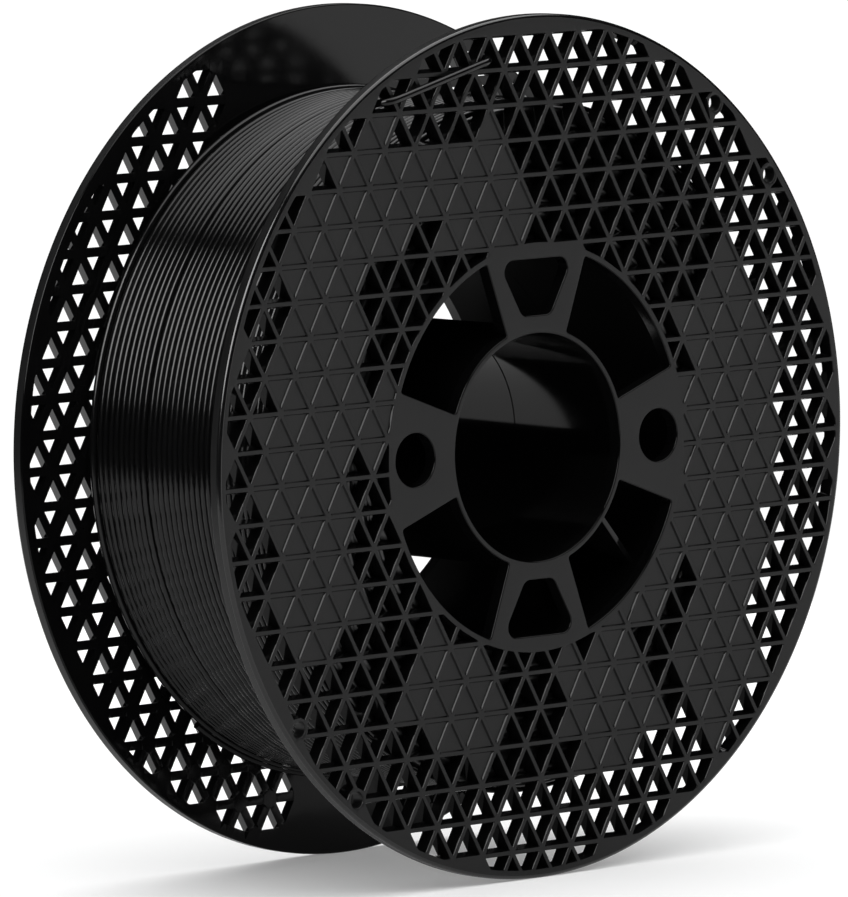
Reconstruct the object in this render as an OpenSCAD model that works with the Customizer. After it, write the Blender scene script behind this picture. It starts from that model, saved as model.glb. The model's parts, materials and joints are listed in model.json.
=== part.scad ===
// Filament spool: two moulded halves that meet at mid width, full of 1.75 mm filament.
// The spool axis runs along Y and the printed face looks along -Y. The origin is the
// centre of the bore at mid width, so the spool stands on its two rims at Z = -flange_d / 2.
// Each half is one moulding, drawn as its members: flange, hub plate, bore sleeve,
// half of the core drum and one radial web. They meet face to face.

/* [Overall] */
// Outside diameter of both flanges
flange_d = 200; // [160:1:230]
// Width over the two flanges
spool_w = 70; // [50:0.5:90]
// Thickness of a flange and of its hub plate
flange_t = 3.2; // [2:0.1:5]
// Bevel on the flange edges
rim_bevel = 0.4; // [0.1:0.1:1]

/* [Triangle lattice] */
// Distance between neighbouring lattice crossings
cell_pitch = 9.5; // [8:0.1:14]
// Width of the ribs between the cells
rib_w = 1.6; // [0.8:0.1:3]
// Radius at which the plain rim band cuts the cells off
lattice_r = 97.6; // [80:0.1:110]
// Cells are opened when at least this much of them lies clear of the rim band
min_rim_opening = 1.8; // [0.5:0.1:4]
// Cells are opened when at least this much of them lies clear of the core
min_core_opening = 1.2; // [0.5:0.1:4]
// How far the closed panels lie below the ribs
panel_recess = 0.4; // [0.2:0.1:2]

/* [Rim holes] */
// Radius on which the strand holes lie
strand_hole_at = 96.2; // [80:0.1:110]
// Diameter of a strand hole
strand_hole_d = 3.8; // [1.8:0.1:5]
// Diameter of the boss round a strand hole
strand_boss_d = 6.2; // [4:0.1:8]
// Angle between a pair's middle and each of its two holes
strand_hole_half_angle = 7.5; // [4:0.5:20]

/* [Hub] */
// Bore for the spindle
bore_d = 52.8; // [20:0.1:60]
// Wall of the bore sleeve
sleeve_wall = 1.4; // [1:0.1:4]
// Outside diameter of the core drum that the filament is wound on
core_d = 94.6; // [70:0.1:110]
// Wall of the core drum
core_wall = 1.3; // [1:0.1:4]
// Half the angle of a spoke between two hub windows
spoke_half_angle = 20; // [10:1:30]
// Diameter of a drive hole
drive_hole_d = 12.3; // [6:0.1:16]
// Distance between the two drive holes
drive_hole_spacing = 78; // [60:0.5:90]
// Thickness of a radial web
web_t = 1.4; // [1:0.1:3]
// Angle of the radial web below the horizontal
web_angle = 40; // [25:1:65]

/* [Filament] */
// Filament diameter
filament_d = 1.75; // [1.75, 2.85]
// Outside diameter of the winding
winding_d = 161; // [100:1:190]

/* [Hidden] */
eps = 0.05;
round_fn = 96;

flange_r = flange_d / 2;
face_z = spool_w / 2;
inner_z = face_z - flange_t;
bore_r = bore_d / 2;
sleeve_r = bore_r + sleeve_wall;
core_r = core_d / 2;
core_inner_r = core_r - core_wall;
winding_r = winding_d / 2;

row_h = cell_pitch * sqrt(3) / 2;
cell_rows = ceil(flange_r / row_h);
cell_columns = ceil(flange_r / cell_pitch);
// From a cell's middle to its corners.
cell_r = cell_pitch / sqrt(3) - rib_w;

// The halves register in each other: a spigot in the front drum, a socket in the rear one.
lap_depth = 3;
lap_gap = 0.1;
lap_r = core_inner_r + core_wall / 2;
seam_bevel = 0.3;

// Rounded openings through the upper and the lower spoke.
spoke_open_in_r = 30.6;
spoke_open_out_r = 43.6;
spoke_open_wall = 4.9;
spoke_open_round = 2.6;

// The web's free edge slopes back from the sleeve to the drum.
web_front_drop = 0.8;
web_back_drop = 5.8;

// Closed panels of the front flange: start angle, end angle, inner radius, outer radius.
front_panels = [
    [94, 121, 50, 77],
    [121, 150, 67, 93],
    [150, 210, 62, 87],
    [160, 178, 46, 62],
    [-34, 34, 54, 79],
    [-16, 16, 46, 60],
    [-62, -16, 46, 57],
    [-52, -34, 66, 93],
    [230, 258, 50, 74],
    [278, 300, 50, 80]
];
// Half widths of the closed panels of the rear flange, above and below the core.
rear_top_half_w = 36;
rear_bottom_half_w = 18;

// Route of the loose end of the strand: off the winding, out through one cell of the
// front flange, along its face and back in through another cell.
tail_route = [
    [-74.5, -27.5, 33], [-72, -27.6, 38], [-69.3, -27.8, 43], [-66.4, -28, 48],
    [-63.4, -28.2, 53], [-60.4, -28.4, 58], [-57.4, -28.6, 63], [-54.5, -28.9, 68],
    [-51.9, -29.3, 73], [-49.8, -29.9, 77.2], [-48.6, -30.8, 80.2], [-48.1, -32.2, 81.7],
    [-47.9, -33.8, 82.1], [-47.2, -35.2, 82.3], [-45.7, -36, 82.6], [-43, -36.1, 83.2],
    [-39, -36.1, 84.2], [-35, -36.1, 85.2], [-31, -36.1, 86.2], [-27, -36.1, 87.2],
    [-23, -36.1, 88.2], [-19, -36.1, 89.2], [-16.4, -36, 89.8], [-14.9, -35.2, 90.2],
    [-14.3, -33.8, 90.4], [-14.2, -32, 90.5], [-14.2, -30, 90.5], [-14.2, -28.4, 90.4]
];
tail_sides = 8;

plastic_black = [0.035, 0.035, 0.037];
filament_black = [0.02, 0.02, 0.022];

// Middle of a lattice cell. Cells that point up stand on row line k, cells that point
// down hang from row line k + 1, and every other row is shifted by half a pitch.
function cell_middle(column, k, up) = let (shift = (k + (up ? 0 : 1)) % 2 == 0 ? 0 : 0.5)
    [(column + shift) * cell_pitch, k * row_h + (up ? 0 : row_h / 3)];

function polar_angle(p) = atan2(p[1], p[0]);

// Angle a brought into the turn that starts at angle low.
function from_angle(a, low) = a - 360 * floor((a - low) / 360);

function in_band(p, band) = from_angle(polar_angle(p), band[0]) <= band[1]
    && norm(p) > band[2] && norm(p) < band[3];

function in_front_panel(p) = len([for (band = front_panels) if (in_band(p, band)) 1]) > 0;

function in_rear_panel(p) = (p[1] > 0 && abs(p[0]) < rear_top_half_w)
    || (p[1] < 0 && abs(p[0]) < rear_bottom_half_w);

// How far the corners of a cell reach from its middle in one direction.
function corner_reach(up, direction) =
    cell_r * max([for (corner = [0:2]) cos((up ? 90 : -90) + 120 * corner - direction)]);

function nearest_r(p, up) = norm(p) - corner_reach(up, polar_angle(p) + 180);
function farthest_r(p, up) = norm(p) + corner_reach(up, polar_angle(p));

// A cell is whole when its corners stay inside the rim band and outside the core.
// The other opened cells are cut off by one of the two.
function is_opened(p, up) = nearest_r(p, up) < lattice_r - min_rim_opening
    && farthest_r(p, up) > core_r + min_core_opening;
function is_whole(p) = norm(p) + cell_r < lattice_r && norm(p) - cell_r > core_r;

module along_y() {
    rotate([90, 0, 0]) children();
}

// One half of the spool turned end for end, for the rear.
module turned() {
    rotate([0, 180, 0]) children();
}

module tube(r_out, r_in, z_low, z_high) {
    translate([0, 0, z_low])
        difference() {
            cylinder(r = r_out, h = z_high - z_low, $fn = round_fn);
            translate([0, 0, -eps]) cylinder(r = r_in, h = z_high - z_low + 2 * eps, $fn = round_fn);
        }
}

// A hole through the flange, as wide at the back as at the front.
module through_cell(up) {
    translate([0, 0, inner_z - eps])
        rotate([0, 0, up ? 90 : -90])
            cylinder(h = flange_t + 2 * eps, r = cell_r, $fn = 3);
}

// A shallow pocket in the outer face, which leaves the cell closed.
module panel_cell(up) {
    translate([0, 0, face_z - panel_recess])
        rotate([0, 0, up ? 90 : -90])
            cylinder(h = panel_recess + eps, r = cell_r, $fn = 3);
}

module lattice(whole, rear) {
    for (k = [-cell_rows:cell_rows], column = [-cell_columns:cell_columns], up = [true, false]) {
        p = cell_middle(column, k, up);
        if (is_opened(p, up) && is_whole(p) == whole)
            translate([p[0], p[1], 0])
                if (rear ? in_rear_panel(p) : in_front_panel(p)) {
                    if (!rear) panel_cell(up);
                } else {
                    through_cell(up);
                }
    }
}

module at_strand_holes() {
    for (middle = [45, 225], side = [-1, 1])
        rotate([0, 0, middle + side * strand_hole_half_angle])
            translate([strand_hole_at, 0, inner_z - eps]) children();
}

// Only the front flange has the strand holes.
module flange_disc(rear) {
    difference() {
        rotate_extrude($fn = 2 * round_fn)
            polygon([
                [core_r, inner_z],
                [flange_r - rim_bevel, inner_z],
                [flange_r, inner_z + rim_bevel],
                [flange_r, face_z - rim_bevel],
                [flange_r - rim_bevel, face_z],
                [core_r, face_z]
            ]);
        if (!rear) at_strand_holes() cylinder(d = strand_hole_d, h = flange_t + 2 * eps, $fn = 24);
    }
}

module flange(rear) {
    difference() {
        flange_disc(rear);
        lattice(true, rear);
        difference() {
            intersection() {
                lattice(false, rear);
                tube(lattice_r, core_r, inner_z - 1, face_z + 1);
            }
            if (!rear) at_strand_holes() cylinder(d = strand_boss_d, h = flange_t + 2 * eps, $fn = 24);
        }
    }
}

// One window between two spokes, as a sector of the ring between sleeve and drum.
module hub_window() {
    rotate([0, 0, spoke_half_angle])
        rotate_extrude(angle = 90 - 2 * spoke_half_angle, $fn = round_fn)
            translate([sleeve_r, inner_z - eps]) square([core_inner_r - sleeve_r, flange_t + 2 * eps]);
}

// The rounded opening in a spoke: narrower near the bore, as wide as the spoke allows.
module spoke_opening() {
    in_half_w = spoke_open_in_r * sin(spoke_half_angle) - spoke_open_wall;
    out_half_w = spoke_open_out_r * sin(spoke_half_angle) - spoke_open_wall;
    translate([0, 0, inner_z - eps])
        linear_extrude(flange_t + 2 * eps)
            hull() {
                for (side = [-1, 1]) {
                    translate([side * (in_half_w - spoke_open_round), spoke_open_in_r + spoke_open_round])
                        circle(spoke_open_round, $fn = 32);
                    translate([side * (out_half_w - spoke_open_round), spoke_open_out_r - spoke_open_round])
                        circle(spoke_open_round, $fn = 32);
                }
            }
}

module hub_plate() {
    difference() {
        tube(core_r, bore_r, inner_z, face_z);
        for (quarter = [0:3]) rotate([0, 0, 90 * quarter]) hub_window();
        for (turn = [0, 180]) rotate([0, 0, turn]) spoke_opening();
        for (side = [-1, 1])
            translate([side * drive_hole_spacing / 2, 0, inner_z - eps])
                cylinder(d = drive_hole_d, h = flange_t + 2 * eps, $fn = round_fn);
    }
}

// Half of the bore sleeve, bevelled where the two halves meet.
module bore_sleeve() {
    rotate_extrude($fn = round_fn)
        polygon([
            [bore_r + seam_bevel, 0],
            [sleeve_r, 0],
            [sleeve_r, inner_z],
            [bore_r, inner_z],
            [bore_r, seam_bevel]
        ]);
}

// The front drum carries a spigot that reaches past mid width, inside the rear drum.
module core_drum_spigot() {
    rotate_extrude($fn = round_fn)
        polygon([
            [core_inner_r, -lap_depth],
            [lap_r - lap_gap, -lap_depth],
            [lap_r - lap_gap, 0],
            [core_r, 0],
            [core_r, inner_z],
            [core_inner_r, inner_z]
        ]);
}

// The rear drum is stepped to take the spigot.
module core_drum_socket() {
    rotate_extrude($fn = round_fn)
        polygon([
            [lap_r, 0],
            [core_r, 0],
            [core_r, inner_z],
            [core_inner_r, inner_z],
            [core_inner_r, lap_depth + lap_gap],
            [lap_r, lap_depth + lap_gap]
        ]);
}

// A web between sleeve and drum. Its ends are curved to sit on both walls.
module radial_web(z_low) {
    rotate([0, 0, -web_angle])
        intersection() {
            rotate([90, 0, 0])
                translate([0, 0, -web_t / 2])
                    linear_extrude(web_t)
                        polygon([
                            [sleeve_r - 1, z_low],
                            [core_inner_r + 1, z_low],
                            [core_inner_r + 1, face_z - web_back_drop],
                            [sleeve_r - 1, face_z - web_front_drop]
                        ]);
            tube(core_inner_r, sleeve_r, z_low - 1, face_z + 1);
        }
}

module winding() {
    tube(winding_r, core_r, -inner_z, inner_z);
}

// A tube of tail_sides sides swept along the route, closed at both ends.
function unit(v) = v / norm(v);
function heading(route, i) = unit(route[min(i + 1, len(route) - 1)] - route[max(i - 1, 0)]);
function side_of(t) = unit(cross(t, abs(t[2]) < 0.9 ? [0, 0, 1] : [0, 1, 0]));
// Each ring starts in the direction of the ring before it, so that the tube does not twist.
function carried(route, i) = i == 0
    ? side_of(heading(route, 0))
    : let (before = carried(route, i - 1), t = heading(route, i)) unit(before - t * (before * t));

module swept_tube(route, r, sides) {
    rings = len(route);
    points = [
        for (i = [0:rings - 1])
            let (t = heading(route, i), u = carried(route, i), v = cross(t, u))
                for (s = [0:sides - 1]) route[i] + r * (cos(360 * s / sides) * u + sin(360 * s / sides) * v)
    ];
    walls = [
        for (i = [0:rings - 2], s = [0:sides - 1])
            let (a = i * sides + s, b = i * sides + (s + 1) % sides)
                each [[a, b, b + sides], [a, b + sides, a + sides]]
    ];
    start_cap = [[for (s = [sides - 1:-1:0]) s]];
    end_cap = [[for (s = [0:sides - 1]) (rings - 1) * sides + s]];
    polyhedron(points = points, faces = concat(walls, start_cap, end_cap));
}

module front_flange() color(plastic_black) along_y() flange(false);
module front_hub_plate() color(plastic_black) along_y() hub_plate();
module front_bore_sleeve() color(plastic_black) along_y() bore_sleeve();
module front_core_drum() color(plastic_black) along_y() core_drum_spigot();
module front_web() color(plastic_black) along_y() radial_web(0);
module rear_flange() color(plastic_black) along_y() turned() flange(true);
module rear_hub_plate() color(plastic_black) along_y() turned() hub_plate();
module rear_bore_sleeve() color(plastic_black) along_y() turned() bore_sleeve();
module rear_core_drum() color(plastic_black) along_y() turned() core_drum_socket();
module rear_web() color(plastic_black) along_y() turned() radial_web(lap_depth + lap_gap);
module filament_winding() color(filament_black) along_y() winding();
module filament_tail() color(filament_black) swept_tube(tail_route, filament_d / 2, tail_sides);

front_flange();
front_hub_plate();
front_bore_sleeve();
front_core_drum();
front_web();
rear_flange();
rear_hub_plate();
rear_bore_sleeve();
rear_core_drum();
rear_web();
filament_winding();
filament_tail();
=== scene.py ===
import json
import math
import random

import bmesh
import bpy
import numpy as np
from mathutils import Matrix, Vector
from mathutils.geometry import delaunay_2d_cdt


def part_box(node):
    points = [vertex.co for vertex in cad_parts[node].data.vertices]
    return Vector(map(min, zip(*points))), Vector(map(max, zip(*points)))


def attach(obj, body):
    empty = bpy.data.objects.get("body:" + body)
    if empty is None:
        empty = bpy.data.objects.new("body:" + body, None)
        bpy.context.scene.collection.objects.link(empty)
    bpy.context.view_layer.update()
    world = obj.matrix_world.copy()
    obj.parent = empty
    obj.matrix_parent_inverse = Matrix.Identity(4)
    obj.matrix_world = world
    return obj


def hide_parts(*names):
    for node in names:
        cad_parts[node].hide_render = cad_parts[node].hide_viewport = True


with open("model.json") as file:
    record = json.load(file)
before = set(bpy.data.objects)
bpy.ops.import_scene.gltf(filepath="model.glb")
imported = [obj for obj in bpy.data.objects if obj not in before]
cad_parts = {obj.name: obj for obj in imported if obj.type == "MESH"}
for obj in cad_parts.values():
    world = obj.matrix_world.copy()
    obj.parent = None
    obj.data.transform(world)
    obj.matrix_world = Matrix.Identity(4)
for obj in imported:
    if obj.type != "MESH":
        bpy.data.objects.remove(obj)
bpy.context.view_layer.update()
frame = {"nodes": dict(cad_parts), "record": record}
scene = bpy.context.scene
MM = 0.001


# ---------------------------------------------------------------- sizes, in mm
def reach(node, axis):
    """The lowest and the highest coordinate of a CAD node along an axis."""
    lo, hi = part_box(node)
    return lo[axis] / MM, hi[axis] / MM


X, Y, Z = 0, 1, 2
mounts = {mount["name"]: mount for mount in frame["record"]["mounts"]}

# Each half is described by u across, v up and w outward from mid width.
FLANGE_R = reach("front_flange", X)[1]
FACE = -reach("front_flange", Y)[0]
INNER = -reach("front_flange", Y)[1]
THICK = FACE - INNER
FLOOR = reach("front_flange", Z)[0]
CORE_R = reach("front_core_drum", X)[1]
SLEEVE_R = reach("front_bore_sleeve", X)[1]
WINDING_R = reach("filament_winding", X)[1]
BORE_R = mounts["spindle_bore"]["dims"]["r_mm"]
DRIVE_R = mounts["front_drive_hole_right"]["dims"]["r_mm"]
DRIVE_AT = mounts["front_drive_hole_right"]["pos_m"][X] / MM
STRAND_R = 0.875

# The lattice: pitch, plain rim band, and the least of a cell that has to lie clear of rim and core.
PITCH = 9.5
ROW_H = PITCH * math.sqrt(3) / 2
LATTICE_R = 97.6
MIN_RIM_OPENING, MIN_CORE_OPENING = 1.8, 1.2
NOMINAL_HALF_RIB = 0.8

# The strand holes lie in pairs near the rim, each in a boss.
HOLE_AT, HOLE_R, BOSS_R, HOLE_HALF_ANGLE = 96.2, 1.9, 3.1, 7.5
PAIR_ANGLES = (45, 225)
HOLE_SEGMENTS, HOLE_DRAFT = 28, 0.03
HOLE_EDGE = ((0.25, 0), (0.08, 0.07), (0, 0.25))  # how much wider than the hole, at which depth

# The closed panels of the front flange: start angle, end angle, inner and outer radius.
FRONT_PANELS = ((94, 121, 50, 77), (121, 150, 67, 93), (150, 210, 62, 87), (160, 178, 46, 62),
                (-34, 34, 54, 79), (-16, 16, 46, 60), (-62, -16, 46, 57), (-52, -34, 66, 93),
                (230, 258, 50, 74), (278, 300, 50, 80))
REAR_TOP_HALF_W, REAR_BOTTOM_HALF_W = 36, 18

# A rib's wall: rounded edge, leaning edge, short blend, drafted wall, eased back edge.
FACE_HALF_RIB, BACK_HALF_RIB, BACK_EASE = 0.42, 1.12, 0.07
EDGE_ROUND, EDGE_SLOPE, EDGE_DEPTH, EDGE_BLEND = 0.05, 63, 0.26, 0.03
ROUND_STEPS = 3

# A closed cell is a shallow pocket with a leaning wall and an eased foot.
POCKET_DEPTH, POCKET_SLOPE, POCKET_ROUND = 0.4, 64, 0.06
FOOT_RISE, FOOT_REACH = 0.05, 0.08

# The flange's rim is rounded well toward the face and a little toward the winding.
RIM_ROUND, RIM_STEPS = 0.85, 5
RIM_BACK_ROUND, RIM_BACK_STEPS = 0.4, 3
RIM_SEGMENTS = 288

# The two halves meet at mid width: eased seam in the bore, spigot and socket in the drum.
SEAM_EASE, SEAM_EASE_MIDDLE = 0.3, 0.09
CORE_WALL = 1.3
CORE_IN_R = CORE_R - CORE_WALL
LAP, LAP_GAP = 3.0, 0.1
LAP_R = CORE_IN_R + CORE_WALL / 2
DRUM_SEGMENTS = 192

# The hub: windows between four spokes, an opening in the upper and the lower spoke, eased edges.
SPOKE_HALF_ANGLE = 20
WINDOW_CORNER, WINDOW_OUTER_POINTS, WINDOW_INNER_POINTS = 0.7, 24, 18
OPENING_IN_R, OPENING_OUT_R, OPENING_WALL = 30.6, 43.6, 4.9
OPENING_CORNER, OPENING_CORNER_POINTS = 2.6, 9
HUB_EDGE, DRIVE_SEGMENTS, BORE_SEGMENTS = 0.3, 64, 160

# A radial web has eased edges; points of its CAD mesh closer than the weld count as one.
WEB_EDGE, WEB_EDGE_SEGMENTS, WEB_WELD = 0.2, 2, 0.01

# The winding: clearance to flanges and drum, distance between layers, turns in a layer, points in a turn.
SHELF = 0.05
LAYER = STRAND_R * math.sqrt(3)
TURNS = 35
TURN_POINTS = 176
NESTED_INSET = 1.9  # the end turn of every other layer lies this many strand radii in, the others one
OUTER_SIDES, TAIL_SIDES, TAIL_PARTS = 12, 16, 5

# What machine winding leaves uneven in the outer layer: (turn, wider gap) and (turn, how far it is raised).
WINDING_SEED = 7
MOST_GAP, MOST_SINK = 0.06, 0.06
WIDER_GAPS = ((1, 0.35), (3, 0.25), (5, 0.12), (10, 0.55), (TURNS - 2, 0.3))
RAISED_TURNS = ((0, 1.3), (1, 0.5), (2, -0.1), (10, -0.12), (11, -0.15), (TURNS - 1, -0.45))
LAYER_START = -2.2  # the angle in radians at which the outer layer starts

# Places in a moulded piece's list of materials; three of them carry darker copies of the black, painted
# shade.
SATIN, GLOSSY_PAINTED_SHADE, DULL_PAINTED_SHADE, RIM, BORE_PAINTED_SHADE = 0, 1, 2, 3, 4
ONLY_MATERIAL = 0

# Edges that turn more than this, in degrees, are shaded sharp.
MOULDED_SHARP, STRAND_SHARP = 50, 60
NEUTRAL_WEIGHT = 50


# ---------------------------------------------------------------- mesh helpers
class Solid:
    """A mesh in the coordinates of one half: u across, v up, w outward from mid width."""

    def __init__(self):
        self.verts, self.faces, self.mats = [], [], []

    def ring(self, points, w):
        """Adds the points of a closed outline at w and returns their numbers."""
        start = len(self.verts)
        self.verts += [(float(p[0]), float(p[1]), float(w)) for p in points]
        return list(range(start, len(self.verts)))

    def strip(self, a, b, mat):
        """Joins two rings with the same number of points by a band of quads."""
        n = len(a)
        for i in range(n):
            j = (i + 1) % n
            self.faces.append((a[i], a[j], b[j], b[i]))
            self.mats.append(mat)

    def wall(self, rings, mat):
        for a, b in zip(rings, rings[1:]):
            self.strip(a, b, mat)

    def cap(self, ring, mat):
        self.faces.append(tuple(ring))
        self.mats.append(mat)

    def plate(self, outer, holes, mat):
        """A flat face inside one closed convex ring, with the hole rings left open."""
        ids, edges, inside = [], [], []
        for ring in [outer] + holes:
            start, n = len(ids), len(ring)
            ids += ring
            edges += [(start + k, start + (k + 1) % n) for k in range(n)]
            if ring is not outer:
                inside.append(list(range(start, start + n)))
        points = [Vector(self.verts[i][:2]) for i in ids]
        all_faces, same_point = 0, 1e-6
        _, _, faces, came_from, _, in_hole = delaunay_2d_cdt(points, edges, inside, all_faces, same_point)
        for face, hole in zip(faces, in_hole):
            if not hole:
                self.faces.append(tuple(ids[came_from[v][0]] for v in face))
                self.mats.append(mat)

    def object(self, name, place, materials):
        """The finished object, where place() turns u, v and w into metres."""
        mesh = bpy.data.meshes.new(name)
        mesh.from_pydata([place(*v) for v in self.verts], [], self.faces)
        for m in materials:
            mesh.materials.append(m)
        mesh.polygons.foreach_set("material_index", self.mats)
        bm = bmesh.new()
        bm.from_mesh(mesh)
        bmesh.ops.recalc_face_normals(bm, faces=bm.faces)
        bm.to_mesh(mesh)
        bm.free()
        return smooth_object(name, mesh, MOULDED_SHARP)


def smooth_object(name, mesh, sharp_angle):
    """Links a mesh that is shaded smooth except where it turns more than an angle."""
    mesh.polygons.foreach_set("use_smooth", [True] * len(mesh.polygons))
    mesh.set_sharp_from_angle(angle=math.radians(sharp_angle))
    obj = bpy.data.objects.new(name, mesh)
    scene.collection.objects.link(obj)
    return obj


def front(u, v, w):
    return (u * MM, -w * MM, v * MM)


def rear(u, v, w):
    """The rear half is the front one turned end for end."""
    return (-u * MM, w * MM, v * MM)


def keep_flats_flat(obj):
    """Large faces keep their own shading, and only the small ones at the edges bend it."""
    soft = obj.modifiers.new("normals", "WEIGHTED_NORMAL")
    soft.mode, soft.weight, soft.keep_sharp = "FACE_AREA", NEUTRAL_WEIGHT, True


def circle(r, n, at=(0, 0)):
    t = np.arange(n) * 2 * math.pi / n
    return np.stack([at[0] + r * np.cos(t), at[1] + r * np.sin(t)], 1)


def arc(r, start, end, count):
    return [(r * math.cos(a), r * math.sin(a)) for a in np.linspace(start, end, count)]


def lathe(profile, n, mat, inner_mat=None, inner_band=0.5):
    """A solid of revolution for a closed profile of (radius, w) points; its innermost wall may differ."""
    solid = Solid()
    rings = [solid.ring(circle(r, n), w) for r, w in profile]
    least = min(r for r, _ in profile)
    for k, (a, b) in enumerate(zip(rings, rings[1:] + rings[:1])):
        inside = max(profile[k][0], profile[(k + 1) % len(profile)][0]) < least + inner_band
        solid.strip(a, b, inner_mat if inside and inner_mat is not None else mat)
    return solid


def rounded_corners(points, radius, steps=4, least_turn=25, most_of_side=0.45):
    """Eases the sharp corners of a closed outline; the smooth vertices of its arcs stay."""
    p = np.asarray(points, float)
    out = []
    for i in range(len(p)):
        a, b, c = p[i - 1], p[i], p[(i + 1) % len(p)]
        into, away = b - a, c - b
        turn = math.degrees(abs(math.atan2(into[0] * away[1] - into[1] * away[0], into @ away)))
        if turn < least_turn:
            out.append(b)
            continue
        start = b - into / np.linalg.norm(into) * min(radius, most_of_side * np.linalg.norm(into))
        end = b + away / np.linalg.norm(away) * min(radius, most_of_side * np.linalg.norm(away))
        for k in range(steps + 1):
            t = k / steps
            out.append((1 - t) ** 2 * start + 2 * t * (1 - t) * b + t ** 2 * end)
    return np.array(out)


def widened(points, by, least_lean=0.3):
    """A closed counter-clockwise outline moved outward by a small distance."""
    p = np.asarray(points, float)
    e = np.roll(p, -1, 0) - p
    n = np.stack([e[:, 1], -e[:, 0]], 1)
    n /= np.maximum(np.linalg.norm(n, axis=1, keepdims=True), 1e-9)
    m = n + np.roll(n, 1, 0)
    m /= np.maximum((m * n).sum(1, keepdims=True), least_lean)
    return p + by * m


# ---------------------------------------------------------------- triangle lattice
CORNER_POWER = 26  # how sharply two sides of a cell meet
CORE_GAP = NOMINAL_HALF_RIB - FACE_HALF_RIB + 0.06  # keeps the cells' eased edges off the core
LEAST_ROOM = 0.3  # a cell that holds no circle of this radius stays closed
LEAST_DISTANCE, LEAST_LEAN, FAR = 0.06, 1e-3, 1e6
GRID_PASSES, GRID_POINTS, GRID_SHRINK = 3, 17, 8
FINE_STEP = 0.5  # this and the next three are in degrees
CORNER_OFFSETS = (-7, -3.6, -1.5, 0, 1.5, 3.6, 7)
LEAST_STEP, MOST_STEP = 1.2, 36

BOSSES = [HOLE_AT * np.array([math.cos(a), math.sin(a)])
          for a in (math.radians(m + s * HOLE_HALF_ANGLE) for m in PAIR_ANGLES for s in (-1, 1))]


def cell_middle(column, k, up):
    shift = 0 if (k + (0 if up else 1)) % 2 == 0 else 0.5
    return np.array([(column + shift) * PITCH, k * ROW_H + (0 if up else ROW_H / 3)])


def in_band(p, band):
    a = (math.degrees(math.atan2(p[1], p[0])) - band[0]) % 360 + band[0]
    return a <= band[1] and band[2] < np.linalg.norm(p) < band[3]


def in_front_panel(p):
    return any(in_band(p, band) for band in FRONT_PANELS)


def in_rear_panel(p):
    return abs(p[0]) < (REAR_TOP_HALF_W if p[1] > 0 else REAR_BOTTOM_HALF_W)


class Cell:
    """A triangular opening, cut off by the rim band, the core or a boss where it meets one."""

    def __init__(self, p, up, bosses):
        self.p, self.bosses = p, bosses
        turns = (-90, 30, 150) if up else (90, -30, 210)
        self.normals = [np.array([math.cos(math.radians(t)), math.sin(math.radians(t))]) for t in turns]
        self.apothem = PITCH * math.sqrt(3) / 6
        self.c, self.room = self.roomiest_point()
        self.directions = self.sample_directions()

    def roomiest_point(self):
        """The point with the most room around it, and how much, found on ever finer grids."""
        middle, span = self.p, PITCH / 2
        for _ in range(GRID_PASSES):
            side = np.linspace(-span, span, GRID_POINTS)
            q = middle + np.stack(np.meshgrid(side, side), -1).reshape(-1, 2)
            r = np.linalg.norm(q, axis=1)
            gaps = [self.apothem - NOMINAL_HALF_RIB - (q - self.p) @ n for n in self.normals]
            gaps += [LATTICE_R - r, r - CORE_R - CORE_GAP]
            gaps += [np.linalg.norm(q - b, axis=1) - BOSS_R for b in self.bosses]
            room = np.min(gaps, 0)
            middle, span = q[room.argmax()], span / GRID_SHRINK
        return middle, room.max()

    def distances(self, t, half_rib):
        """Distance from the roomiest point to each bound along the directions t."""
        u = np.stack([np.cos(t), np.sin(t)], 1)
        rows = []
        for n in self.normals:
            room = max(self.apothem - half_rib - n @ (self.c - self.p), LEAST_DISTANCE)
            lean = u @ n
            rows.append(np.where(lean > LEAST_LEAN, room / np.maximum(lean, LEAST_LEAN), FAR))
        grow = half_rib - NOMINAL_HALF_RIB
        along = u @ self.c
        out = along ** 2 - (self.c @ self.c - (LATTICE_R - grow) ** 2)
        rows.append(np.maximum(-along + np.sqrt(np.maximum(out, 0)), LEAST_DISTANCE))
        bodies = [(np.zeros(2), CORE_R + CORE_GAP + grow)] + [(b, BOSS_R + grow) for b in self.bosses]
        for middle, radius in bodies:
            q = self.c - middle
            along = u @ q
            hit = along ** 2 - (q @ q - radius ** 2)
            d = -along - np.sqrt(np.maximum(hit, 0))
            rows.append(np.where((hit > 0) & (along < 0), np.maximum(d, LEAST_DISTANCE), FAR))
        return np.array(rows)

    def sample_directions(self):
        """Directions that crowd round the corners and step along the sides."""
        fine = np.radians(np.arange(0, 360, FINE_STEP))
        nearest = self.distances(fine, NOMINAL_HALF_RIB).argmin(0)
        corners = [i * FINE_STEP for i in range(len(fine)) if nearest[i] != nearest[i - 1]]
        wanted = sorted((c + o) % 360 for c in corners for o in CORNER_OFFSETS)
        kept = []
        for a in wanted:
            if not kept or a - kept[-1] > LEAST_STEP:
                kept.append(a)
        if kept[0] + 360 - kept[-1] < LEAST_STEP:
            kept.pop()
        full = []
        for a, b in zip(kept, kept[1:] + [kept[0] + 360]):
            parts = max(1, math.ceil((b - a) / MOST_STEP))
            full += [a + (b - a) * k / parts for k in range(parts)]
        return np.radians(np.array(full))

    def outline(self, half_rib):
        """The opening's outline for ribs of this half width, with slightly rounded corners."""
        d = self.distances(self.directions, half_rib)
        d = (d ** -CORNER_POWER).sum(0) ** (-1 / CORNER_POWER)
        return self.c + np.stack([d * np.cos(self.directions), d * np.sin(self.directions)], 1)


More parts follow.
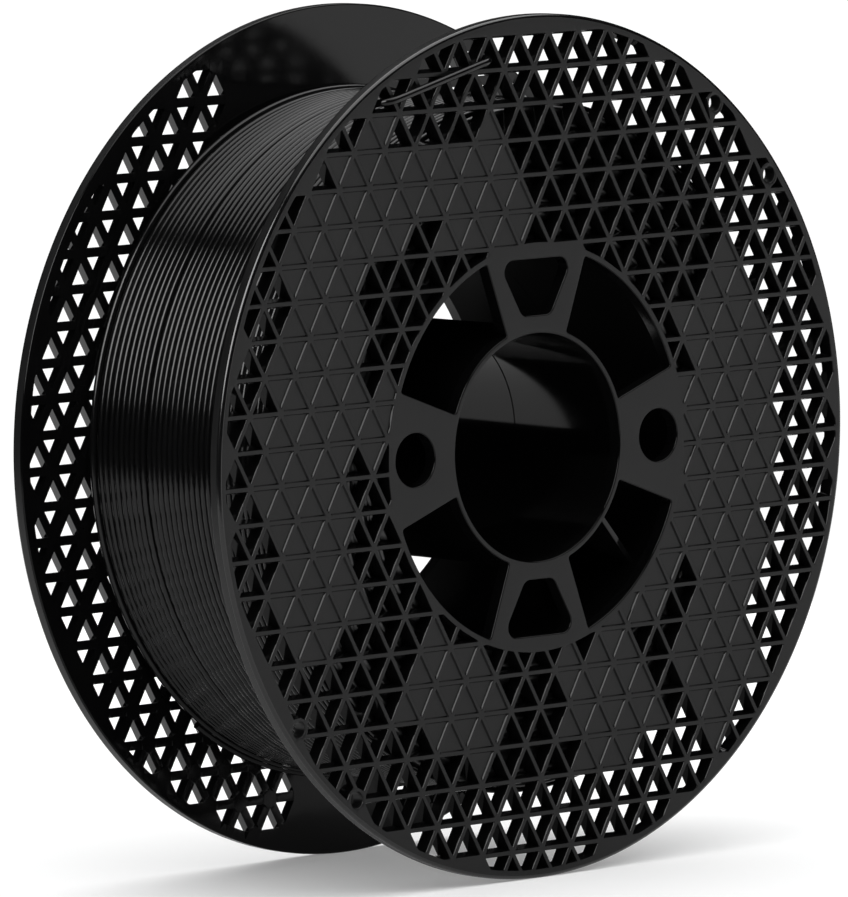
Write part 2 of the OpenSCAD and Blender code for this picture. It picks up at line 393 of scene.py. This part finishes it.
def corner_reach(up, p, sign):
    """How far the corners of a cell reach from its middle, away from the axis or toward it."""
    corners = [math.radians((90 if up else -90) + 120 * k) for k in range(3)]
    away = sign * p / np.linalg.norm(p)
    farthest = max(away @ (math.cos(a), math.sin(a)) for a in corners)
    return (PITCH / math.sqrt(3) - 2 * NOMINAL_HALF_RIB) * farthest


def is_opened(p, up):
    r = np.linalg.norm(p)
    return (r > 0 and r - corner_reach(up, p, -1) < LATTICE_R - MIN_RIM_OPENING
            and r + corner_reach(up, p, 1) > CORE_R + MIN_CORE_OPENING)


def lattice_cells(bosses):
    rows, columns = math.ceil(FLANGE_R / ROW_H), math.ceil(FLANGE_R / PITCH)
    for k in range(-rows, rows + 1):
        for column in range(-columns, columns + 1):
            for up in (True, False):
                p = cell_middle(column, k, up)
                if is_opened(p, up):
                    cell = Cell(p, up, [b for b in bosses if np.linalg.norm(b - p) < 2 * PITCH])
                    if cell.room > LEAST_ROOM:
                        yield cell


# ---------------------------------------------------------------- flange
def leaning_edge(radius, slope, depth):
    """(depth, half rib) round an edge and down a wall that leans, its slope in degrees from the face."""
    steps = [math.radians(slope * k / ROUND_STEPS) for k in range(ROUND_STEPS + 1)]
    points = [(radius * (1 - math.cos(a)), FACE_HALF_RIB + radius * math.sin(a)) for a in steps]
    reach_in = points[-1][1] + (depth - points[-1][0]) / math.tan(math.radians(slope))
    return points + [(depth, reach_in)]


def edge_profile():
    """The edge of an open cell, with a blend into the drafted wall."""
    points = leaning_edge(EDGE_ROUND, EDGE_SLOPE, EDGE_DEPTH)
    reach_in = points[-1][1]
    draft = (BACK_HALF_RIB - reach_in) / (THICK - EDGE_DEPTH)
    return points + [(EDGE_DEPTH + EDGE_BLEND, reach_in + draft * EDGE_BLEND)]


def pocket_profile():
    """The wall of a closed cell, with an eased foot."""
    points = leaning_edge(POCKET_ROUND, POCKET_SLOPE, POCKET_DEPTH - FOOT_RISE)
    return points + [(POCKET_DEPTH, points[-1][1] + FOOT_REACH)]


def rim_profile():
    """(radius, w) over the rim, from the face to the inner face."""
    profile = []
    for k in range(RIM_STEPS + 1):
        a = math.pi / 2 * k / RIM_STEPS
        profile.append((FLANGE_R - RIM_ROUND + RIM_ROUND * math.sin(a),
                        FACE - RIM_ROUND + RIM_ROUND * math.cos(a)))
    for k in range(RIM_BACK_STEPS + 1):
        a = math.pi / 2 * k / RIM_BACK_STEPS
        profile.append((FLANGE_R - RIM_BACK_ROUND + RIM_BACK_ROUND * math.cos(a),
                        INNER + RIM_BACK_ROUND - RIM_BACK_ROUND * math.sin(a)))
    return profile


def open_cell(solid, cell):
    """Cuts one cell through and returns its first and its last ring."""
    rings = [solid.ring(cell.outline(half_rib), FACE - depth) for depth, half_rib in edge_profile()]
    rings.append(solid.ring(cell.outline(BACK_HALF_RIB), INNER + BACK_EASE))
    rings.append(solid.ring(cell.outline(BACK_HALF_RIB - BACK_EASE), INNER))
    solid.wall(rings, GLOSSY_PAINTED_SHADE)
    return rings[0], rings[-1]


def pocket(solid, cell):
    """Sinks one closed cell and returns its first ring."""
    rings = [solid.ring(cell.outline(half_rib), FACE - depth) for depth, half_rib in pocket_profile()]
    solid.wall(rings, GLOSSY_PAINTED_SHADE)
    solid.cap(rings[-1], SATIN)
    return rings[0]


def strand_hole(solid, boss):
    """Cuts one strand hole through and returns its first and its last ring."""
    rings = [solid.ring(circle(HOLE_R + wider, HOLE_SEGMENTS, boss), FACE - depth)
             for wider, depth in HOLE_EDGE]
    rings.append(solid.ring(circle(HOLE_R - HOLE_DRAFT, HOLE_SEGMENTS, boss), INNER))
    solid.wall(rings, SATIN)
    return rings[0], rings[-1]


def flange(in_panel, pockets, bosses):
    """A disc of lattice. Its closed cells are pockets on the front half and plain on the rear one."""
    s = Solid()
    top_holes, back_holes = [], []
    for cell in lattice_cells(bosses):
        if not in_panel(cell.p):
            top, back = open_cell(s, cell)
            top_holes.append(top)
            back_holes.append(back)
        elif pockets:
            top_holes.append(pocket(s, cell))
    for boss in bosses:
        top, back = strand_hole(s, boss)
        top_holes.append(top)
        back_holes.append(back)
    rings = [s.ring(circle(r, RIM_SEGMENTS), w) for r, w in rim_profile()]
    looks = [RIM] * RIM_STEPS + [SATIN] + [GLOSSY_PAINTED_SHADE] * RIM_BACK_STEPS
    for a, b, look in zip(rings, rings[1:], looks):
        s.strip(a, b, look)
    core_top = s.ring(circle(CORE_R, RIM_SEGMENTS), FACE)
    core_back = s.ring(circle(CORE_R, RIM_SEGMENTS), INNER)
    s.strip(core_top, core_back, SATIN)
    s.plate(rings[0], [core_top] + top_holes, SATIN)
    s.plate(rings[-1], [core_back] + back_holes, GLOSSY_PAINTED_SHADE)
    return s


# ---------------------------------------------------------------- hub
def window_outline(quarter):
    """The window between two spokes."""
    a0 = math.radians(90 * quarter + SPOKE_HALF_ANGLE)
    a1 = math.radians(90 * (quarter + 1) - SPOKE_HALF_ANGLE)
    outer = arc(CORE_IN_R, a0, a1, WINDOW_OUTER_POINTS)
    inner = arc(SLEEVE_R, a1, a0, WINDOW_INNER_POINTS)
    return rounded_corners(outer + inner, WINDOW_CORNER)


def spoke_outline(turn):
    """Rounded opening in a spoke: narrower near the bore, as wide as the spoke allows further out."""
    sine, radius = math.sin(math.radians(SPOKE_HALF_ANGLE)), OPENING_CORNER
    in_w, out_w = OPENING_IN_R * sine - OPENING_WALL, OPENING_OUT_R * sine - OPENING_WALL
    corners = [(in_w - radius, OPENING_IN_R + radius), (out_w - radius, OPENING_OUT_R - radius),
               (radius - out_w, OPENING_OUT_R - radius), (radius - in_w, OPENING_IN_R + radius)]
    lean = math.degrees(math.atan2(out_w - in_w, OPENING_OUT_R - OPENING_IN_R - 2 * radius))
    spans = [(-90, -lean), (-lean, 90), (90, 180 + lean), (180 + lean, 270)]
    points = []
    for (cx, cy), (a0, a1) in zip(corners, spans):
        for a in np.radians(np.linspace(a0, a1, OPENING_CORNER_POINTS)):
            points.append((cx + radius * math.cos(a), cy + radius * math.sin(a)))
    c, s = math.cos(math.radians(turn)), math.sin(math.radians(turn))
    return np.array([(c * x - s * y, s * x + c * y) for x, y in points])


def hub_plate():
    s = Solid()
    outlines = [window_outline(q) for q in range(4)] + [spoke_outline(t) for t in (0, 180)]
    outlines += [circle(DRIVE_R, DRIVE_SEGMENTS, (x, 0)) for x in (-DRIVE_AT, DRIVE_AT)]
    outlines += [circle(BORE_R, BORE_SEGMENTS)]
    top_holes, back_holes = [], []
    for outline in outlines:
        rings = []
        for k in range(ROUND_STEPS + 1):
            a = math.pi / 2 * k / ROUND_STEPS
            wider = widened(outline, HUB_EDGE - HUB_EDGE * math.sin(a))
            rings.append(s.ring(wider, FACE - HUB_EDGE * (1 - math.cos(a))))
        rings.append(s.ring(outline, INNER))
        s.wall(rings, GLOSSY_PAINTED_SHADE)
        top_holes.append(rings[0])
        back_holes.append(rings[-1])
    top = s.ring(circle(CORE_R, RIM_SEGMENTS), FACE)
    back = s.ring(circle(CORE_R, RIM_SEGMENTS), INNER)
    s.strip(top, back, SATIN)
    s.plate(top, top_holes, SATIN)
    s.plate(back, back_holes, GLOSSY_PAINTED_SHADE)
    return s


def bore_sleeve():
    profile = [(BORE_R + SEAM_EASE, 0), (SLEEVE_R, 0), (SLEEVE_R, INNER), (BORE_R, INNER),
               (BORE_R, SEAM_EASE), (BORE_R + SEAM_EASE_MIDDLE, SEAM_EASE_MIDDLE)]
    return lathe(profile, BORE_SEGMENTS, DULL_PAINTED_SHADE, BORE_PAINTED_SHADE)


def core_drum(spigot):
    """Half of the drum, with the spigot or with the socket that it enters."""
    if spigot:
        profile = [(CORE_IN_R, -LAP), (LAP_R - LAP_GAP, -LAP), (LAP_R - LAP_GAP, 0), (CORE_R, 0),
                   (CORE_R, INNER), (CORE_IN_R, INNER)]
    else:
        profile = [(LAP_R, 0), (CORE_R, 0), (CORE_R, INNER), (CORE_IN_R, INNER),
                   (CORE_IN_R, LAP + LAP_GAP), (LAP_R, LAP + LAP_GAP)]
    return lathe(profile, DRUM_SEGMENTS, DULL_PAINTED_SHADE)


# ---------------------------------------------------------------- filament
def turn_arc(mid_r, mid_w, start, end, steps):
    """(radius, w) round part of one turn; 0 degrees is away from the axis and 90 is toward the face."""
    angles = [math.radians(start + (end - start) * k / steps) for k in range(steps + 1)]
    return [(mid_r + STRAND_R * math.cos(a), mid_w + STRAND_R * math.sin(a)) for a in angles]


def winding_body():
    """The layers under the outer one: rounded turns along the top and up both sides."""
    half = INNER - SHELF
    top = WINDING_R - STRAND_R - LAYER
    count = int((top - CORE_R) / LAYER)

    def end_turn(layer):
        return half - STRAND_R * (1 if (count - layer) % 2 == 0 else NESTED_INSET)

    side = [(top - LAYER * count, end_turn(0) + STRAND_R)]
    for layer in range(1, count + 1):
        side += turn_arc(top - LAYER * (count - layer), end_turn(layer), 30, 130, 3)
    crown = []
    for i in range(TURNS):
        w = half - STRAND_R - (2 * half - 2 * STRAND_R) * i / (TURNS - 1)
        crown += turn_arc(top, w, 60, -60, 4)
    other_side = [(r, -w) for r, w in reversed(side)]
    inside = [(CORE_R + SHELF, other_side[-1][1]), (CORE_R + SHELF, side[0][1])]
    return lathe(side + crown + other_side + inside, TURN_POINTS, ONLY_MATERIAL)


def strand_tube(name, path, sides, material):
    """The strand swept along a route given in mm, closed at both ends, with rings that do not twist."""
    p = np.asarray(path, float)
    t = np.gradient(p, axis=0)
    t /= np.linalg.norm(t, axis=1, keepdims=True)
    starts_level = abs(t[0][2]) < 0.9
    u = np.cross(t[0], [0.0, 0.0, 1.0] if starts_level else [0.0, 1.0, 0.0])
    u /= np.linalg.norm(u)
    frames = []
    for i in range(len(p)):
        u = u - t[i] * (u @ t[i])
        u /= np.linalg.norm(u)
        frames.append((u, np.cross(t[i], u)))
    turn = np.arange(sides) * 2 * math.pi / sides
    verts, faces = [], []
    for c, (a, b) in zip(p, frames):
        around = c + STRAND_R * (np.outer(np.cos(turn), a) + np.outer(np.sin(turn), b))
        verts += [tuple(v * MM) for v in around]
    for i in range(len(p) - 1):
        for k in range(sides):
            j = (k + 1) % sides
            a, b = i * sides, (i + 1) * sides
            faces.append((a + k, a + j, b + j, b + k))
    faces.append(tuple(range(sides))[::-1])
    faces.append(tuple(range(len(verts) - sides, len(verts))))
    mesh = bpy.data.meshes.new(name)
    mesh.from_pydata(verts, [], faces)
    mesh.materials.append(material)
    return smooth_object(name, mesh, STRAND_SHARP)


def outer_turns():
    """Route of the outer layer in mm: turn against turn, with small gaps and raised turns."""
    rng = random.Random(WINDING_SEED)
    gaps = [rng.uniform(0.0, MOST_GAP) for _ in range(TURNS - 1)]
    for i, extra in WIDER_GAPS:
        gaps[i] += extra
    free = 2 * INNER - 2 * STRAND_R * TURNS - 2 * SHELF
    scale = free / sum(gaps)
    at = [INNER - STRAND_R - SHELF]
    for g in gaps:
        at.append(at[-1] - 2 * STRAND_R - g * scale)
    base = WINDING_R - STRAND_R
    lift = [rng.uniform(-MOST_SINK, 0.0) for _ in range(TURNS)]
    for i, rise in RAISED_TURNS:
        lift[i] += rise
    path = []
    for k in range((TURNS - 1) * TURN_POINTS + 1):
        turn = k / TURN_POINTS
        i = min(int(turn), TURNS - 2)
        f = turn - i
        f = f * f * (3 - 2 * f)
        a = 2 * math.pi * turn + LAYER_START
        r = base + lift[i] * (1 - f) + lift[i + 1] * f
        w = at[i] * (1 - f) + at[i + 1] * f
        path.append((r * math.cos(a), w, r * math.sin(a)))
    return path


# The loose end follows the route of its CAD node.
TAIL_ROUTE = (
    (-74.5, -27.5, 33), (-72, -27.6, 38), (-69.3, -27.8, 43), (-66.4, -28, 48),
    (-63.4, -28.2, 53), (-60.4, -28.4, 58), (-57.4, -28.6, 63), (-54.5, -28.9, 68),
    (-51.9, -29.3, 73), (-49.8, -29.9, 77.2), (-48.6, -30.8, 80.2), (-48.1, -32.2, 81.7),
    (-47.9, -33.8, 82.1), (-47.2, -35.2, 82.3), (-45.7, -36, 82.6), (-43, -36.1, 83.2),
    (-39, -36.1, 84.2), (-35, -36.1, 85.2), (-31, -36.1, 86.2), (-27, -36.1, 87.2),
    (-23, -36.1, 88.2), (-19, -36.1, 89.2), (-16.4, -36, 89.8), (-14.9, -35.2, 90.2),
    (-14.3, -33.8, 90.4), (-14.2, -32, 90.5), (-14.2, -30, 90.5), (-14.2, -28.4, 90.4),
)


def smooth_route(points, parts):
    """Catmull-Rom points through the route."""
    p = np.asarray(points, float)
    q = np.vstack([2 * p[0] - p[1], p, 2 * p[-1] - p[-2]])
    out = []
    for i in range(1, len(q) - 2):
        for k in range(parts):
            t = k / parts
            a, b, c, d = q[i - 1], q[i], q[i + 1], q[i + 2]
            out.append(0.5 * (2 * b + (c - a) * t + (2 * a - 5 * b + 4 * c - d) * t ** 2
                              + (3 * b - 3 * c + d - a) * t ** 3))
    out.append(p[-1])
    return np.array(out)


# ---------------------------------------------------------------- materials
PATCHES_PER_M, PATCH_DETAIL, GRAIN_DETAIL = 38, 5, 3
COLOUR_SPAN, ROUGHNESS_SPAN = (0.3, 0.75), (0.3, 0.7)  # the noise values over which each one changes
GRAIN_SHARE = 0.45  # of the grain in the roughness, the rest being the patches
PLASTIC_IOR = 1.5
MICRON = 1e-6


def material(name, colours, rough, rough_spread, grain_mm, bump_um, specular):
    """Black plastic: two close colours in patches, uneven roughness and a fine bump."""
    m = bpy.data.materials.new(name)
    m.use_nodes = True
    nodes, links = m.node_tree.nodes, m.node_tree.links
    shader = nodes["Principled BSDF"]
    shader.inputs["IOR"].default_value = PLASTIC_IOR
    shader.inputs["Specular IOR Level"].default_value = specular
    where = nodes.new("ShaderNodeTexCoord")

    def noise(scale, detail):
        n = nodes.new("ShaderNodeTexNoise")
        n.inputs["Scale"].default_value = scale
        n.inputs["Detail"].default_value = detail
        links.new(where.outputs["Object"], n.inputs["Vector"])
        return n.outputs["Fac"]

    patches = noise(PATCHES_PER_M, PATCH_DETAIL)
    grain = noise(1 / (grain_mm * MM), GRAIN_DETAIL)
    ramp = nodes.new("ShaderNodeValToRGB")
    for stop, at, colour in zip(ramp.color_ramp.elements, COLOUR_SPAN, colours):
        stop.position, stop.color = at, (*colour, 1)
    links.new(patches, ramp.inputs["Fac"])
    links.new(ramp.outputs["Color"], shader.inputs["Base Color"])
    mix = nodes.new("ShaderNodeMix")
    mix.inputs["Factor"].default_value = GRAIN_SHARE
    links.new(patches, mix.inputs["A"])
    links.new(grain, mix.inputs["B"])
    spread = nodes.new("ShaderNodeMapRange")
    spread.inputs["From Min"].default_value = ROUGHNESS_SPAN[0]
    spread.inputs["From Max"].default_value = ROUGHNESS_SPAN[1]
    spread.inputs["To Min"].default_value = rough - rough_spread
    spread.inputs["To Max"].default_value = rough + rough_spread
    links.new(mix.outputs["Result"], spread.inputs["Value"])
    links.new(spread.outputs["Result"], shader.inputs["Roughness"])
    bump = nodes.new("ShaderNodeBump")
    bump.inputs["Strength"].default_value = 1.0
    bump.inputs["Distance"].default_value = bump_um * MICRON
    links.new(grain, bump.inputs["Height"])
    links.new(bump.outputs["Normal"], shader.inputs["Normal"])
    return m


OUTSIDE_BLACK = (0.0035, 0.0035, 0.0036), (0.0055, 0.0055, 0.0057)
# A darker copy of the outside black: painted shade on inner faces, cell, pocket and window walls and webs.
INSIDE_BLACK_PAINTED_SHADE = (0.002, 0.002, 0.0021), (0.0035, 0.0035, 0.0036)
# Darker still: painted shade in the hub chamber and the bore.
CHAMBER_BLACK_PAINTED_SHADE = (0.001, 0.001, 0.001), (0.0018, 0.0018, 0.0018)
FILAMENT_BLACK = (0.003, 0.003, 0.0031), (0.005, 0.005, 0.0052)

satin = material("satin_black_plastic", OUTSIDE_BLACK, rough=0.38, rough_spread=0.05,
                 grain_mm=0.35, bump_um=5, specular=0.21)
# A shiny finish with the inside black as painted shade.
glossy_painted_shade = material("glossy_black_plastic_painted_shade", INSIDE_BLACK_PAINTED_SHADE, rough=0.10, rough_spread=0.03,
                  grain_mm=0.8, bump_um=1.5, specular=0.11)
# Chamber black with its reflection turned almost off: painted shade on the drum and sleeves.
dull_painted_shade = material("dull_black_plastic_painted_shade", CHAMBER_BLACK_PAINTED_SHADE, rough=0.55, rough_spread=0.06,
                grain_mm=0.6, bump_um=4, specular=0.01)
rim = material("rim_black_plastic", OUTSIDE_BLACK, rough=0.14, rough_spread=0.03,
               grain_mm=0.5, bump_um=3, specular=0.37)
# The bore's wall: a shiny finish with the chamber black as painted shade.
bore = material("bore_black_plastic_painted_shade", CHAMBER_BLACK_PAINTED_SHADE, rough=0.09, rough_spread=0.02,
                grain_mm=0.8, bump_um=1, specular=0.165)
strand = material("black_filament", FILAMENT_BLACK, rough=0.13, rough_spread=0.03,
                  grain_mm=0.5, bump_um=3, specular=0.20)
strand_layers = material("black_filament_layers", FILAMENT_BLACK, rough=0.34, rough_spread=0.05,
                         grain_mm=0.5, bump_um=3, specular=0.6)


# ---------------------------------------------------------------- pieces
def piece(obj, slot, *nodes):
    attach(obj, "root")
    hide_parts(*nodes)
    return obj


def finish_web(web):
    """A radial web keeps its CAD shape, with eased edges and a material."""
    web.data.materials.clear()
    web.data.materials.append(glossy_painted_shade)
    weld = web.modifiers.new("weld", "WELD")
    weld.merge_threshold = WEB_WELD * MM
    ease = web.modifiers.new("ease", "BEVEL")
    ease.width, ease.segments, ease.limit_method = WEB_EDGE * MM, WEB_EDGE_SEGMENTS, "ANGLE"


HALVES = (("front", front, in_front_panel, True, BOSSES), ("rear", rear, in_rear_panel, False, []))
for side, place, in_panel, is_front, bosses in HALVES:
    members = {
        "flange": flange(in_panel, is_front, bosses),
        "hub_plate": hub_plate(),
        "bore_sleeve": bore_sleeve(),
        "core_drum": core_drum(is_front),
    }
    for name, solid in members.items():
        obj = solid.object(f"{side}_{name}_moulded", place, [satin, glossy_painted_shade, dull_painted_shade, rim, bore])
        keep_flats_flat(obj)
        piece(obj, "spool_plastic", f"{side}_{name}")
    finish_web(frame["nodes"][f"{side}_web"])

body = winding_body().object("winding_body", front, [strand_layers])
piece(body, "filament", "filament_winding")
turns = strand_tube("outer_turns", outer_turns(), OUTER_SIDES, strand)
piece(turns, "filament", "filament_winding")

tail_path = smooth_route(TAIL_ROUTE, TAIL_PARTS)
tail = strand_tube("loose_strand_end", tail_path, TAIL_SIDES, strand)
piece(tail, "filament", "filament_tail")

# ---------------------------------------------------------------- floor, light and camera, in metres
# The sweep is a long strip of paper that runs away from the object toward the front right.
SWEEP_LENGTH, SWEEP_WIDTH, SWEEP_END, SWEEP_AZIMUTH = 60, 1.1, 0.55, 43.5
# It glows more the further it is from the object: (distance, emission strength). The glow is painted light,
# and its dimmer part near the object is painted shade.
GLOW_NEAR, GLOW_FAR = (0.45, 0.22), (2.1, 1.7)
# Colour and strength of what the object reflects past the sweep, and of what the camera sees there.
SURROUNDINGS, BACKDROP = ((0.9, 0.95, 1.0, 1), 0.008), ((1, 1, 1, 1), 1.05)
CAMERA_AZIMUTH, CAMERA_ELEVATION, CAMERA_ROLL = -43.5835, 5.5236, -0.6295
CAMERA_DISTANCE = 2.73853
SENSOR_MM, LENS_MM = 36, 472.357
SHIFT_X, SHIFT_Y = -0.010528, -0.011783
CLIP_START, CLIP_END = 0.1, 100


def direction(azimuth, elevation):
    """From the object outward, in degrees: azimuth 0 is in front of it and -90 at its left."""
    a, e = math.radians(azimuth), math.radians(elevation)
    return Vector((math.sin(a) * math.cos(e), -math.cos(a) * math.cos(e), math.sin(e)))


def pale_paper_painted_glow():
    m = bpy.data.materials.new("pale_floor_painted_glow")
    m.use_nodes = True
    nodes, links = m.node_tree.nodes, m.node_tree.links
    shader = nodes["Principled BSDF"]
    shader.inputs["Base Color"].default_value = (0.8, 0.8, 0.8, 1)
    shader.inputs["Roughness"].default_value = 0.9
    shader.inputs["Specular IOR Level"].default_value = 0.1
    shader.inputs["Emission Color"].default_value = (1, 1, 1, 1)
    # The emission is painted light on the paper, weakest near the object as painted shade.
    where = nodes.new("ShaderNodeNewGeometry")
    distance = nodes.new("ShaderNodeVectorMath")
    distance.operation = "LENGTH"
    glow = nodes.new("ShaderNodeMapRange")
    glow.inputs["From Min"].default_value, glow.inputs["To Min"].default_value = GLOW_NEAR
    glow.inputs["From Max"].default_value, glow.inputs["To Max"].default_value = GLOW_FAR
    links.new(where.outputs["Position"], distance.inputs[0])
    links.new(distance.outputs["Value"], glow.inputs["Value"])
    links.new(glow.outputs["Result"], shader.inputs["Emission Strength"])
    return m


def sweep():
    along = direction(SWEEP_AZIMUTH, 0)
    middle = along * (SWEEP_LENGTH / 2 - SWEEP_END)
    bpy.ops.mesh.primitive_plane_add(size=1, location=(middle.x, middle.y, FLOOR * MM),
                                     rotation=(0, 0, math.atan2(along.y, along.x)))
    floor = bpy.context.object
    floor.name = "floor"
    floor.scale = (SWEEP_LENGTH, SWEEP_WIDTH, 1)
    floor.data.materials.append(pale_paper_painted_glow())
    return floor


def studio():
    world = bpy.data.worlds.new("studio")
    world.use_nodes = True
    nodes, links = world.node_tree.nodes, world.node_tree.links
    nodes.clear()
    out = nodes.new("ShaderNodeOutputWorld")
    mix = nodes.new("ShaderNodeMixShader")
    path = nodes.new("ShaderNodeLightPath")
    links.new(path.outputs["Is Camera Ray"], mix.inputs["Fac"])
    for socket, (colour, strength) in ((1, SURROUNDINGS), (2, BACKDROP)):
        background = nodes.new("ShaderNodeBackground")
        background.inputs["Color"].default_value = colour
        background.inputs["Strength"].default_value = strength
        links.new(background.outputs["Background"], mix.inputs[socket])
    links.new(mix.outputs["Shader"], out.inputs["Surface"])
    return world


def soft_sun(name, azimuth, elevation, strength, spread):
    """A distant soft light that fills an angle of this many degrees round its direction."""
    lamp = bpy.data.lights.new(name, "SUN")
    lamp.energy, lamp.angle = strength, math.radians(spread)
    obj = bpy.data.objects.new(name, lamp)
    obj.rotation_mode = "QUATERNION"
    obj.rotation_quaternion = direction(azimuth, elevation).to_track_quat("Z", "Y")
    scene.collection.objects.link(obj)
    return obj


def viewing_camera():
    back, roll = direction(CAMERA_AZIMUTH, CAMERA_ELEVATION), math.radians(CAMERA_ROLL)
    level = (-back).cross(Vector((0, 0, 1))).normalized()
    upright = level.cross(-back)
    right = math.cos(roll) * level + math.sin(roll) * upright
    up = math.cos(roll) * upright - math.sin(roll) * level
    lens = bpy.data.cameras.new("camera")
    lens.sensor_width, lens.lens = SENSOR_MM, LENS_MM
    lens.shift_x, lens.shift_y = SHIFT_X, SHIFT_Y
    lens.clip_start, lens.clip_end = CLIP_START, CLIP_END
    camera = bpy.data.objects.new("camera", lens)
    turned = Matrix((right, up, back)).transposed().to_4x4()
    camera.matrix_world = Matrix.Translation(back * CAMERA_DISTANCE) @ turned
    scene.collection.objects.link(camera)
    return camera


sweep()
scene.world = studio()
# The overhead light is split: a softbox for highlights alone and a wide fill for shade alone.
soft_sun("overhead_softbox", azimuth=80, elevation=80, strength=4.6, spread=78).visible_diffuse = False
soft_sun("overhead_fill", azimuth=80, elevation=86, strength=4.2, spread=130).visible_glossy = False
soft_sun("left_softbox", azimuth=-80, elevation=33, strength=5.8, spread=46).visible_diffuse = False
scene.camera = viewing_camera()
scene.view_settings.view_transform = "Standard"
